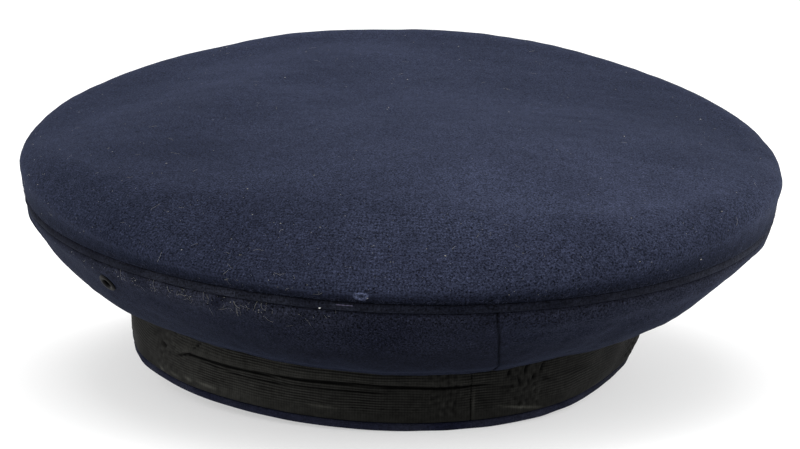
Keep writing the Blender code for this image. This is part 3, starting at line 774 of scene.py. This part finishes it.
# painted shade on the band's edge round the right end
band_painted_shade = 0.6 * bump(np.linspace(0, 360, BAND_COLUMNS, endpoint=False), 150, 24)
band_marks = {"dust": band_dust, "painted_shade": np.broadcast_to(band_painted_shade, band_dust.shape)}
band = add_surface("head_band_cloth", band_grid, band_wool, band_marks, closed=True, loop=True)
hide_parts("head_band")

# %% [markdown]
# ## Mohair braid
# Mohair braid is woven with fine ribs along it and raised leaves between stretches of plain ribs. Here it
# has been pressed: a sharp crease runs round the left of the back with a fainter one under it, the cloth
# is puckered where the crease forks and past the join, and its two ends meet in a plain butt join. Ribs
# drawn in a material would vanish in a side light, so they are real relief: 29 ribs of 0.85 mm, five rows
# to each. The columns crowd toward the join, which is in the middle of what the picture shows.

# %% Mohair braid
BRAID_COLUMNS, BRAID_ROWS = 620, 152
BRAID_JOIN_ANGLE, BRAID_JOIN_GAP = 94.5, 0.12
BRAID_RADIUS = (BAND_HALF_WIDTH + BAND_HALF_LENGTH) / 2
RIB_PITCH, RIB_DEPTH = 0.85, 0.15
BRAID_LOW = EDGE_HEIGHT + GAP
STITCH_SPACE, STITCH_HEIGHT = 5.0, 7.3
COLUMN_CLOSING = 0.12  # how much the columns crowd toward the join
BRAID_ROUND = 0.6  # mm over which its edges and ends round off
BANK_HEIGHT, BANK_HALF = 1.6, 1.5  # the swollen bank above a crease
CREASES = (
    # degrees over which it fades out; depth, half width and bank in mm; degrees and height along it
    (6, 0.95, 0.42, 0.4, (
        (25, 9.9), (31, 13.2), (47, 13.5), (58.6, 14.3), (71, 14.8), (79.5, 14.4), (88, 14.0), (100, 14.3),
    )),
    (5, 0.5, 0.3, 0.0, ((33, 12.8), (35, 12.6), (47, 11.3), (58.7, 12.1), (71, 12.4), (78, 12.6))),
)
PUCKERS = (
    # angle and height of the middle, half length and half width in mm, turn in degrees, depth in mm
    (32.5, 15.9, 2.9, 0.4, 47, 0.8),
    (28.5, 11.6, 2.4, 0.35, 22, 0.3),
    (21.8, 12.1, 1.2, 0.5, -25, 0.8),
    (19.0, 15.0, 3.4, 0.8, 10, 0.35),
    (25.5, 17.6, 2.0, 0.6, 130, 0.4),
    (103.0, 17.0, 1.5, 0.5, 65, 0.7),
    (105.4, 14.6, 1.3, 0.5, 110, 0.7),
    (107.2, 17.4, 1.7, 0.45, 75, 0.8),
    (109.2, 14.2, 1.3, 0.5, 45, 0.6),
    (111.6, 17.0, 1.8, 0.5, 62, 0.8),
    (112.6, 12.6, 2.4, 0.6, 160, 0.5),
    (102.6, 12.6, 5.0, 0.35, 178, 0.4),
    (122.0, 12.4, 10.0, 1.3, 176, 0.35),
    (131.0, 17.0, 8.0, 0.7, 8, 0.35),
    (91.0, 9.0, 2.2, 0.5, 80, 0.3),
    (86.0, 11.0, 1.2, 0.4, 100, 0.35),
)
PALE_STROKES = (
    # the same five sizes, and how pale
    (21.5, 3.9, 1.6, 0.5, 165, 0.5),
    (26.5, 4.5, 2.2, 0.5, 175, 0.5),
    (31.0, 4.9, 1.6, 0.5, 170, 0.6),
    (36.5, 5.1, 4.0, 0.5, 178, 0.45),
    (106.5, 5.0, 6.5, 0.4, 170, 0.5),
    (63.0, 6.7, 5.0, 0.5, 180, 0.3),
    (95.1, 8.0, 4.0, 0.3, 88, 0.25),
)
LEAF_PATCHES = (  # middle in degrees, half length in mm
    (89.0, 7.0), (107.5, 8.0), (22.0, 9.0), (150.0, 9.0), (188.0, 8.0), (226.0, 9.0), (262.0, 8.0),
    (300.0, 9.0), (338.0, 8.0),
)


def strokes(along, height, table):
    """Soft short strokes added up, each with its own place, size, turn and strength."""
    total = np.zeros_like(height)
    for middle, level, half_length, half_width, turn, strength in table:
        c, s = math.cos(math.radians(turn)), math.sin(math.radians(turn))
        side, rise = along - math.radians(middle) * BRAID_RADIUS, height - level
        far, off = side * c + rise * s, rise * c - side * s
        total += strength * bump(far, 0, half_length) * bump(off, 0, half_width)
    return total


def creases(degrees, height):
    """How deep the creases are: a groove with a bank above it, fading over the last degrees at both ends."""
    deep = np.zeros_like(height)
    for fade, depth, half, bank, path in CREASES:
        known, level = np.array(path, float).T
        off = height - np.interp(degrees, known, level)
        strength = step(degrees, known[0], known[0] + fade) * step(degrees, known[-1], known[-1] - fade)
        deep += strength * (depth * bump(off, 0, half) - bank * bump(off, BANK_HEIGHT, BANK_HALF))
    return deep


def braid_relief(angle, height):
    """How far the braid's face stands out, how light each point is, with painted shade in the grooves,
    creases, puckers and both ends, and where the pale strokes lie.
    """
    degrees = np.degrees(angle) % 360
    along = np.radians(degrees) * BRAID_RADIUS
    flat = np.stack([along, height], -1)
    leaf = sum(bump(along, math.radians(middle) * BRAID_RADIUS, half) for middle, half in LEAF_PATCHES)
    leaf = np.clip(leaf, 0, 1) * step(height, BRAID_TOP, BRAID_TOP - 6)
    leaf = leaf * step(height, BRAID_LOW, BRAID_LOW + 3)
    wavy = height + 0.12 * ripple(flat, 18, seed=51)
    plain = (1 - 0.9 * leaf) * (0.75 + 0.25 * ripple(flat, 22, seed=52)) * step(height, 4.5, 8.5)
    rib = np.cos(TURN * wavy / RIB_PITCH) * plain
    leaf_weave = leaf * ripple(flat, 2.6, seed=53)
    mottle = 0.16 * leaf_weave + 0.03 * ripple(flat, 2.2, seed=54)
    slack = 0.2 * ripple(flat * (0.5, 1.0), 12, seed=55)
    deep = creases(degrees, height) + strokes(along, height, PUCKERS)
    stitch = bump(np.mod(along, STITCH_SPACE) - STITCH_SPACE / 2, 0, 0.5) * bump(height, STITCH_HEIGHT, 0.4)
    deep += 0.3 * stitch * step(degrees, 60, 64) * step(degrees, 82, 78)
    # painted shade at the two ends of the braid
    end_shade = 0.6 * step(degrees, 124, 142) * step(degrees, 260, 200)
    end_shade += 0.3 * bump((degrees + 180) % 360, 186, 16)
    # painted shade: the grooves, creases and puckers are darker
    ridge = np.clip(0.5 + 0.5 * rib + 0.2 * leaf_weave - 0.9 * deep, 0, 1)
    ridge = ridge * (0.8 + 0.9 * bump(degrees, 40, 22) - end_shade)
    # pale strokes on the braid's lower edge and by the join
    dust = np.clip(strokes(along, height, PALE_STROKES), 0, 1)
    return RIB_DEPTH * rib + mottle + slack - deep, ridge, dust


def braid_grid():
    """The braid's face, closed round its edges and back: rows from the back's foot to the back's head."""
    gap = BRAID_JOIN_GAP / 2 / BAND_HALF_LENGTH
    start = math.radians(BRAID_JOIN_ANGLE - 360) + gap
    steps = np.linspace(0, 1, BRAID_COLUMNS)
    angle = start + (TURN - 2 * gap) * (steps - COLUMN_CLOSING * np.sin(TURN * steps))
    height = np.linspace(BRAID_LOW, BRAID_TOP, BRAID_ROWS)
    across, along = np.meshgrid(height, angle, indexing="ij")
    out, ridge, dust = braid_relief(along, across)
    edge = np.minimum(across - BRAID_LOW, BRAID_TOP - across)
    out = out * step(edge, 0, 1.0) - 0.5 * (1 - np.clip(edge / BRAID_ROUND, 0, 1)) ** 2
    ends = np.minimum(along - angle[0], angle[-1] - along) * BAND_HALF_LENGTH
    out -= 0.3 * (1 - np.clip(ends / BRAID_ROUND, 0, 1)) ** 2
    face = with_height(band_oval(along, out + band_swell(along, across)), across)
    low, high = (
        with_height(band_oval(angle, band_swell(angle, level) - BRAID_THICKNESS), level)[None]
        for level in (BRAID_LOW, BRAID_TOP)
    )
    ridge, dust = (np.pad(values, ((1, 1), (0, 0)), mode="edge") for values in (ridge, dust))
    return np.concatenate([low, face, high]), {"ridge": ridge, "dust": dust}


# %% [markdown]
# Worn mohair is a neutral black with little shine: the tops of the ribs are lighter, since dust and wear
# reach them first, and the grooves, creases, puckers and both ends are darkened by painted shade.
# Crosswise threads show as faint marks 0.9 mm apart, as coarse as the picture can show.

# %% Mohair braid: material and piece
CROSS_PITCH, PILE_WIDTH = 0.9, 2.381  # mm


def black_mohair():
    """Mohair: black, lighter where "ridge" is high, darker as painted shade where it is low, paler where
    "dust" is, with faint crosswise threads.
    """
    made, tree, shader = new_material("black_mohair_braid")
    place = add_node(tree, "TexCoord", output="Object")
    cloth = add_node(tree, "UVMap", uv_map="cloth")
    ridge, dust = (
        add_node(tree, "Attribute", output="Fac", attribute_name=mark) for mark in ("ridge", "dust")
    )
    mottle = add_node(tree, "TexNoise", {
        "Vector": place, "Scale": grains(PILE_WIDTH), "Detail": 4.0, "Roughness": 0.7,
    })
    cross = add_node(tree, "TexWave", {
        "Vector": cloth, "Scale": WAVE_BAND / CROSS_PITCH, "Distortion": 1.5, "Detail": 1.0,
    }, output="Fac", wave_type="BANDS", bands_direction="X")
    tone = add_node(tree, "MapRange", (mottle, 0.3, 0.7, 0.6, 1.4))
    weave = add_node(tree, "MapRange", (cross, 0.0, 1.0, 0.82, 1.14))
    tone = add_node(tree, "Math", (tone, weave), operation="MULTIPLY")
    # painted shade: low "ridge" values in grooves, creases and at the ends take the darker colour
    ribs = {0: ridge, 6: linear("070707"), 7: linear("262624")}
    pale_mix = {0: dust, 6: add_node(tree, "Mix", ribs, output=2, data_type="RGBA"), 7: linear("4a4a45")}
    worn = add_node(tree, "Mix", pale_mix, output=2, data_type="RGBA")
    set_inputs(shader, {
        "Base Color": add_node(tree, "VectorMath", {0: worn, "Scale": tone}, operation="SCALE"),
        "Normal": add_node(tree, "Bump", {"Height": mottle, "Strength": 0.4, "Distance": 0.2 * MM}),
        "Roughness": 0.6,
        "Specular IOR Level": 0.02,
    })
    return made


braid_points, braid_marks = braid_grid()
braid = add_surface("mohair_braid_ribbed", braid_points, black_mohair(), braid_marks, loop=True)
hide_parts("mohair_braid")
cap_ends(braid)

# %% [markdown]
# ## Visor
# The visor is a curved plate of leather, lacquered black, sewn under the band's front edge. It is hidden
# in the photograph, so it is finished plainly: a smooth plate with rounded edges. The lacquer is a thin
# clear coat with a satin gloss, and the grain of the leather, about a millimetre, still shows very slightly.

# %% Visor
VISOR_REACH, VISOR_END_REACH, VISOR_HALF_ANGLE, VISOR_THICKNESS = 38.0, 2.5, 64.0, 2.2
VISOR_STEEPEST_SLOPE, VISOR_OUTLINE_POWER, VISOR_ROOT_INSET, VISOR_BOW = 0.62, 1.15, 0.5, 1.6
VISOR_COLUMNS, VISOR_ROWS, VISOR_EDGE_ROUND = 200, 40, 0.6
LACQUER_WEAR, LEATHER_GRAIN = 40, 1.111  # mm


def visor_grid():
    """The visor's upper face, from under the band to its edge, which lies on the floor at the front."""
    spread = np.linspace(-1, 1, VISOR_COLUMNS)
    angle = math.radians(-90) + spread * math.radians(VISOR_HALF_ANGLE)
    outline = np.cos(spread * math.pi / 2) ** VISOR_OUTLINE_POWER
    reach = VISOR_END_REACH + (VISOR_REACH - VISOR_END_REACH) * outline
    root = -VISOR_THICKNESS - GAP
    touch = BAND_HALF_LENGTH - GAP - EDGE_CHAMFER
    floor = (band_oval(angle, reach)[:, 1] - touch) * math.tan(LEAN)
    edge = np.maximum(floor, root - VISOR_STEEPEST_SLOPE * reach)
    inner = np.linspace(BAND_INNER + VISOR_ROOT_INSET, -GAP - EDGE_CHAMFER, 5)
    rows = [with_height(band_oval(angle, np.full(VISOR_COLUMNS, out)), root) for out in inner]
    for share in np.linspace(0, 1, VISOR_ROWS)[1:]:
        flat = band_oval(angle, reach * share)
        rows.append(with_height(flat, root + (edge - root) * share + VISOR_BOW * math.sin(math.pi * share)))
    return np.array(rows)


def black_lacquer():
    """Lacquered leather: black with a slight grain under a thin coat, its gloss wandering over 40 mm."""
    made, tree, shader, wear = mottled("black_lacquered_leather", LACQUER_WEAR, 1.0, "0a0a0b", "131314")
    place = add_node(tree, "TexCoord", output="Object")
    grain = add_node(tree, "TexNoise", {"Vector": place, "Scale": grains(LEATHER_GRAIN), "Detail": 1.0})
    set_inputs(shader, {
        "Normal": add_node(tree, "Bump", {"Height": grain, "Strength": 0.15, "Distance": 0.1 * MM}),
        "Roughness": add_node(tree, "MapRange", (wear, 0.3, 0.7, 0.42, 0.5)),
        "Specular IOR Level": 0.3,
        "Coat Weight": 0.3,
        "Coat Roughness": 0.3,
    })
    return made


visor = add_surface("visor_lacquered", visor_grid(), black_lacquer())
thicken(visor, VISOR_THICKNESS)
visor_edge = visor.modifiers.new("rounded_edge", "BEVEL")
visor_edge.width = VISOR_EDGE_ROUND * MM
visor_edge.segments = 3
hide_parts("visor")

# %% [markdown]
# ## Vents
# Each vent is an eyelet pressed through the side. It is a turned shape, so its section is drawn once, as a
# barrel with a rolled bead on top, and carried round the line that stands square on the cloth. The brass
# was blackened, and dirt has dulled it, so that it shows as little more than a small black ring.

# %% Vents
EYELET_SIDES = 48
EYELET_HOLE, EYELET_BARREL, EYELET_BEAD, EYELET_RISE = 1.5, 2.2, 3.2, 0.6
BRASS_WEAR = 2  # mm


def eyelet_grid(angle):
    """The eyelet's section carried round, at this angle of the cap's side."""
    turns, rises = np.radians([0, 1, 0]) + math.radians(angle), np.array([0, 0, 0.01]) + VENT_SHARE
    centre, along, up = (side_points(turn, rise) for turn, rise in zip(turns, rises))
    x = unit(along - centre)
    z = unit(np.cross(x, up - centre))
    y = np.cross(z, x)
    bead = np.linspace(0, math.pi, 9)
    middle, half = (EYELET_BEAD + EYELET_HOLE) / 2, (EYELET_BEAD - EYELET_HOLE) / 2
    radius = np.concatenate([[EYELET_HOLE, EYELET_BARREL, EYELET_BARREL], middle + half * np.cos(bead)])
    height = np.concatenate([[-CLOTH - GAP, -CLOTH - GAP, 0.0], GAP + EYELET_RISE * np.sin(bead)])
    around = np.linspace(0, TURN, EYELET_SIDES, endpoint=False)
    ring = np.cos(around)[:, None] * x + np.sin(around)[:, None] * y
    return centre + radius[:, None, None] * ring + height[:, None, None] * z


def blackened_brass():
    """Brass under a black film, thick and dull, so that it looks only partly like metal."""
    made, tree, shader, wear = mottled("blackened_brass", BRASS_WEAR, 3.0, "020203", "09090a")
    gloss = add_node(tree, "MapRange", (wear, 0.0, 1.0, 0.7, 0.45))
    set_inputs(shader, {"Roughness": gloss, "Metallic": 0.4, "Specular IOR Level": 0.12})
    return made


brass = blackened_brass()
for name, angle in VENT_ANGLES.items():
    vent = add_surface(f"vent_{name}_eyelet", eyelet_grid(angle), brass, closed=True, loop=True)
    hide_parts(f"vent_{name}")

# %% [markdown]
# ## Lint
# Old dark wool picks up pale specks and loose fibres, and without them the cloth looks like paint. A speck
# is a tiny crumb with eight faces and a fibre a thin three-sided thread that lies on the nap, so a few
# hundred of each stay light. They are thrown at random on the visible cloth, more of them where the
# photograph shows most: on the left of the back, next to the seam. Dark fibres of the nap itself stand over
# the seam and break its line. One white speck sits on the welt, and where the seam has worn open a stitch
# of violet thread shows.

# %% Lint
CRUMB = np.array([(1, 0, 0), (0, 1, 0), (-1, 0, 0), (0, -1, 0), (0, 0, 1), (0, 0, -1)], float)
CRUMB_FACES = np.array([
    (0, 1, 4), (1, 2, 4), (2, 3, 4), (3, 0, 4), (1, 0, 5), (2, 1, 5), (3, 2, 5), (0, 3, 5),
])
CRUMB_SHAPE = (1.3, 0.8, 0.6)  # longer than wide, and wider than high
SCATTER = 0.4  # mm off the grid's points, to each side
FIBRE_POINTS = 9
NAP_FIBRES = 900
SPECK_DEGREES, SPECK_DROP, SPECK_RADIUS = 66.2, 2.9, 0.34
THREAD_DEGREES, THREAD_DROP, THREAD_RADIUS, THREAD_TWIST = (68.4, 70.6), 1.4, 0.15, 1.2566
FIBRE_TONES = 11.11  # mm over which the tone of the fibres wanders


def lint_places(grid, weight, count, rng):
    """Random points of a cloth, each with three directions: two along the cloth and its normal."""
    out = normals(grid)
    along = np.gradient(grid, axis=1)
    chance = weight * np.linalg.norm(np.cross(along, np.gradient(grid, axis=0)), axis=-1)
    cell = rng.choice(chance.size, count, p=(chance / chance.sum()).ravel())
    spot, out, along = (values.reshape(-1, 3)[cell] for values in (grid, out, along))
    along = unit(along)
    spin = rng.uniform(0, TURN, (count, 1))
    other = np.cross(out, along)
    first = along * np.cos(spin) + other * np.sin(spin)
    spot = spot + SCATTER * along * rng.uniform(-1, 1, (count, 1))
    spot = spot + SCATTER * other * rng.uniform(-1, 1, (count, 1))
    return spot, first, np.cross(out, first), out


def add_crumbs(name, spots, sizes, material):
    """Small eight-sided crumbs, one mesh for all of them."""
    place, first, second, out = spots
    axes = np.stack([first, second, out], 1) * sizes[:, None, None] * CRUMB_SHAPE
    points = place[:, None] + CRUMB @ axes
    faces = CRUMB_FACES + 6 * np.arange(len(place))[:, None, None]
    return add_mesh(name, points.reshape(-1, 3), faces.ravel(), np.full(faces.size // 3, 3), material)


def add_threads(name, lines, radius, out, material, sides=3):
    """Thin threads along lines[thread][point], one mesh for all of them, with closed ends."""
    count, length = lines.shape[:2]
    along = unit(np.gradient(lines, axis=1))
    across = unit(np.cross(along, out[:, None]))
    up = np.cross(across, along)
    around = np.linspace(0, TURN, sides, endpoint=False)[:, None]
    ring = np.cos(around) * across[:, :, None] + np.sin(around) * up[:, :, None]
    points = lines[:, :, None] + ring * radius[:, None, None, None]
    number = np.arange(points.size // 3).reshape(count, length, sides)
    after = np.roll(number, -1, 2)
    quads = np.stack([number[:, :-1], after[:, :-1], after[:, 1:], number[:, 1:]], -1)
    ends = np.concatenate([number[:, 0, ::-1], number[:, -1]])
    corners = np.concatenate([quads.ravel(), ends.ravel()])
    face_sizes = np.concatenate([np.full(quads.size // 4, 4), np.full(len(ends), sides)])
    return add_mesh(name, points.reshape(-1, 3), corners, face_sizes, material)


def loose_fibres(spots, rng, longest=3.6):
    """Curved lines of a few points that lie on the cloth: a bend, a twist and an end that lifts."""
    place, first, second, out = spots
    count = len(place)
    length = rng.uniform(0.8, longest, (count, 1, 1))
    share = np.linspace(-0.5, 0.5, FIBRE_POINTS)[:, None]
    bend, twist = rng.uniform(-0.9, 0.9, (count, 1, 1)), rng.uniform(-0.8, 0.8, (count, 1, 1))
    side = length * (bend * share**2 + twist * share**3)
    lift = 0.12 + 0.25 * rng.uniform(0, 1, (count, 1, 1)) * (share + 0.5) ** 2 - 0.012 * (length * share) ** 2
    return place[:, None] + first[:, None] * length * share + second[:, None] * side + out[:, None] * lift


def fibre_material(name, dark, light):
    """Dull fibres whose tone wanders from one place to the next between two colours."""
    made, _, shader, _ = mottled(name, FIBRE_TONES, 2.0, dark, light)
    set_inputs(shader, {"Roughness": 0.9, "Specular IOR Level": 0.1})
    return made


def sewing_thread():
    """Twisted cotton, violet, with the turns of its twist a little over a millimetre apart."""
    made, tree, shader = new_material("violet_sewing_thread")
    place = add_node(tree, "TexCoord", output="Object")
    twist = {"Vector": place, "Scale": WAVE_BAND / (THREAD_TWIST * MM)}
    colours = {0: add_node(tree, "TexWave", twist, output="Fac"), 6: linear("2c2a3c"), 7: linear("46425c")}
    colour = add_node(tree, "Mix", colours, output=2, data_type="RGBA")
    set_inputs(shader, {"Base Color": colour, "Roughness": 0.7})
    return made


lint = fibre_material("pale_lint", "5c5b58", "b9b6ac")
nap_fibre = fibre_material("navy_nap_fibre", "1c1e2c", "4c5066")

lint_rng = np.random.default_rng(71)
dusty_corner = bump(np.degrees(top_angle), 60, 28) * bump(top_up, 8, 14)
top_weight = (0.3 + 2.2 * dusty_corner + 0.7 * bump(top_up, 18, 14)) * step(top_up, 1, 3)
left_grid, left_degrees, left_down, _ = sides["left"]
side_weight = bump(left_degrees, 52, 18) * bump(left_down, 1, 4) * step(left_down, 0.3, 1.2)
for cloth, cloth_grid, weight, crumbs, fibres in (
    ("top", top_grid, top_weight, 480, 90), ("side", left_grid, side_weight, 60, 42),
):
    spots = lint_places(cloth_grid, weight, crumbs, lint_rng)
    add_crumbs(f"lint_crumbs_{cloth}", spots, lint_rng.gamma(1.2, 0.045, crumbs) + 0.06, lint)
    spots = lint_places(cloth_grid, weight, fibres, lint_rng)
    lines = loose_fibres(spots, lint_rng)
    add_threads(f"lint_fibres_{cloth}", lines, lint_rng.uniform(0.01, 0.024, fibres), spots[3], lint)

# %% Fibres over the seam, speck and thread
seam_weight = bump(top_up, 0.9, 0.7) * (np.sin(top_angle) > -0.3)  # none far round the front
spots = lint_places(top_grid, seam_weight, NAP_FIBRES, lint_rng)
lines = loose_fibres(spots, lint_rng, longest=2.0)
add_threads("nap_on_seam", lines, lint_rng.uniform(0.012, 0.03, NAP_FIBRES), spots[3], nap_fibre)


def on_welt(angle, out, drop):
    """Points on the welt's outer face, this far out from it and this far under the seam of the top."""
    return with_height(crown_oval(angle, WELT_OUT + WELT_DEPTH + out), welt_line(angle) - drop)


speck = on_welt(np.radians(SPECK_DEGREES), 0.0, SPECK_DROP)[None]
speck_axes = np.eye(3)[[0, 2, 1], None]
white = fibre_material("white_speck", "dcdcd8", "f2f2ee")
add_crumbs("speck_on_welt", (speck, *speck_axes), np.array([SPECK_RADIUS]), white)

thread_line = on_welt(np.radians(np.linspace(*THREAD_DEGREES, 14)), 0.05, THREAD_DROP)[None]
thread_out = np.array([[0.34, 0.94, 0.0]])  # square to the cap's face there
add_threads("seam_thread", thread_line, np.array([THREAD_RADIUS]), thread_out, sewing_thread(), sides=6)

# %% [markdown]
# ## Floor and light
# The photograph was taken in a white tent and exposed for the dark cloth, so the white floor is blown out
# nearly everywhere, and only the deepest part of the shadow, close round the band, can still be seen. An
# even white world gives the tent, and a large soft light overhead and one at each side lift the cloth. The
# floor glows faintly, as acrylic does that carries light along inside it, just enough to reach white away
# from the cap. It is so large that its edge stays out of the picture.

# %% Floor and light
FLOOR_HALF = 12.0  # metres
FLOOR_ALBEDO, FLOOR_GLOW, TENT_STRENGTH = 0.56, 0.455, 1.0
WHITE = linear("ffffff")
SOFTBOXES = (  # name, place in metres, width and depth, watts
    ("softbox_overhead", (0.0, -0.2, 1.8), 1.6, 1.2, 18.0),
    ("softbox_left", (1.1, -0.1, 0.35), 1.2, 0.6, 5.0),
    ("softbox_right", (-1.1, -0.1, 0.35), 1.2, 0.6, 10.0),
)

floor_mesh = bpy.data.meshes.new("floor")
floor_corners = [(x * FLOOR_HALF, y * FLOOR_HALF, 0) for x, y in ((-1, -1), (1, -1), (1, 1), (-1, 1))]
floor_mesh.from_pydata(floor_corners, [], [(0, 1, 2, 3)])
floor = add_object("floor", floor_mesh)
acrylic, _, acrylic_shader = new_material("white_acrylic")
set_inputs(acrylic_shader, {
    "Base Color": (FLOOR_ALBEDO, FLOOR_ALBEDO, FLOOR_ALBEDO, 1),
    "Roughness": 0.9,
    "Specular IOR Level": 0.0,
    "Emission Color": WHITE,
    "Emission Strength": FLOOR_GLOW,
})
floor_mesh.materials.append(acrylic)

world = bpy.data.worlds.new("light_tent")
world.use_nodes = True
set_inputs(world.node_tree.nodes["Background"], {"Color": WHITE, "Strength": TENT_STRENGTH})
bpy.context.scene.world = world

for name, place, width, depth, watts in SOFTBOXES:
    box = add_object(name, bpy.data.lights.new(name, "AREA"))
    box.data.shape = "RECTANGLE"
    box.data.size, box.data.size_y, box.data.energy = width, depth, watts
    aim(box, place, (0, 0, 0))
bpy.context.scene.view_settings.view_transform = "Standard"
print(f"floor {2 * FLOOR_HALF:.0f} m wide, {len(SOFTBOXES)} soft lights")
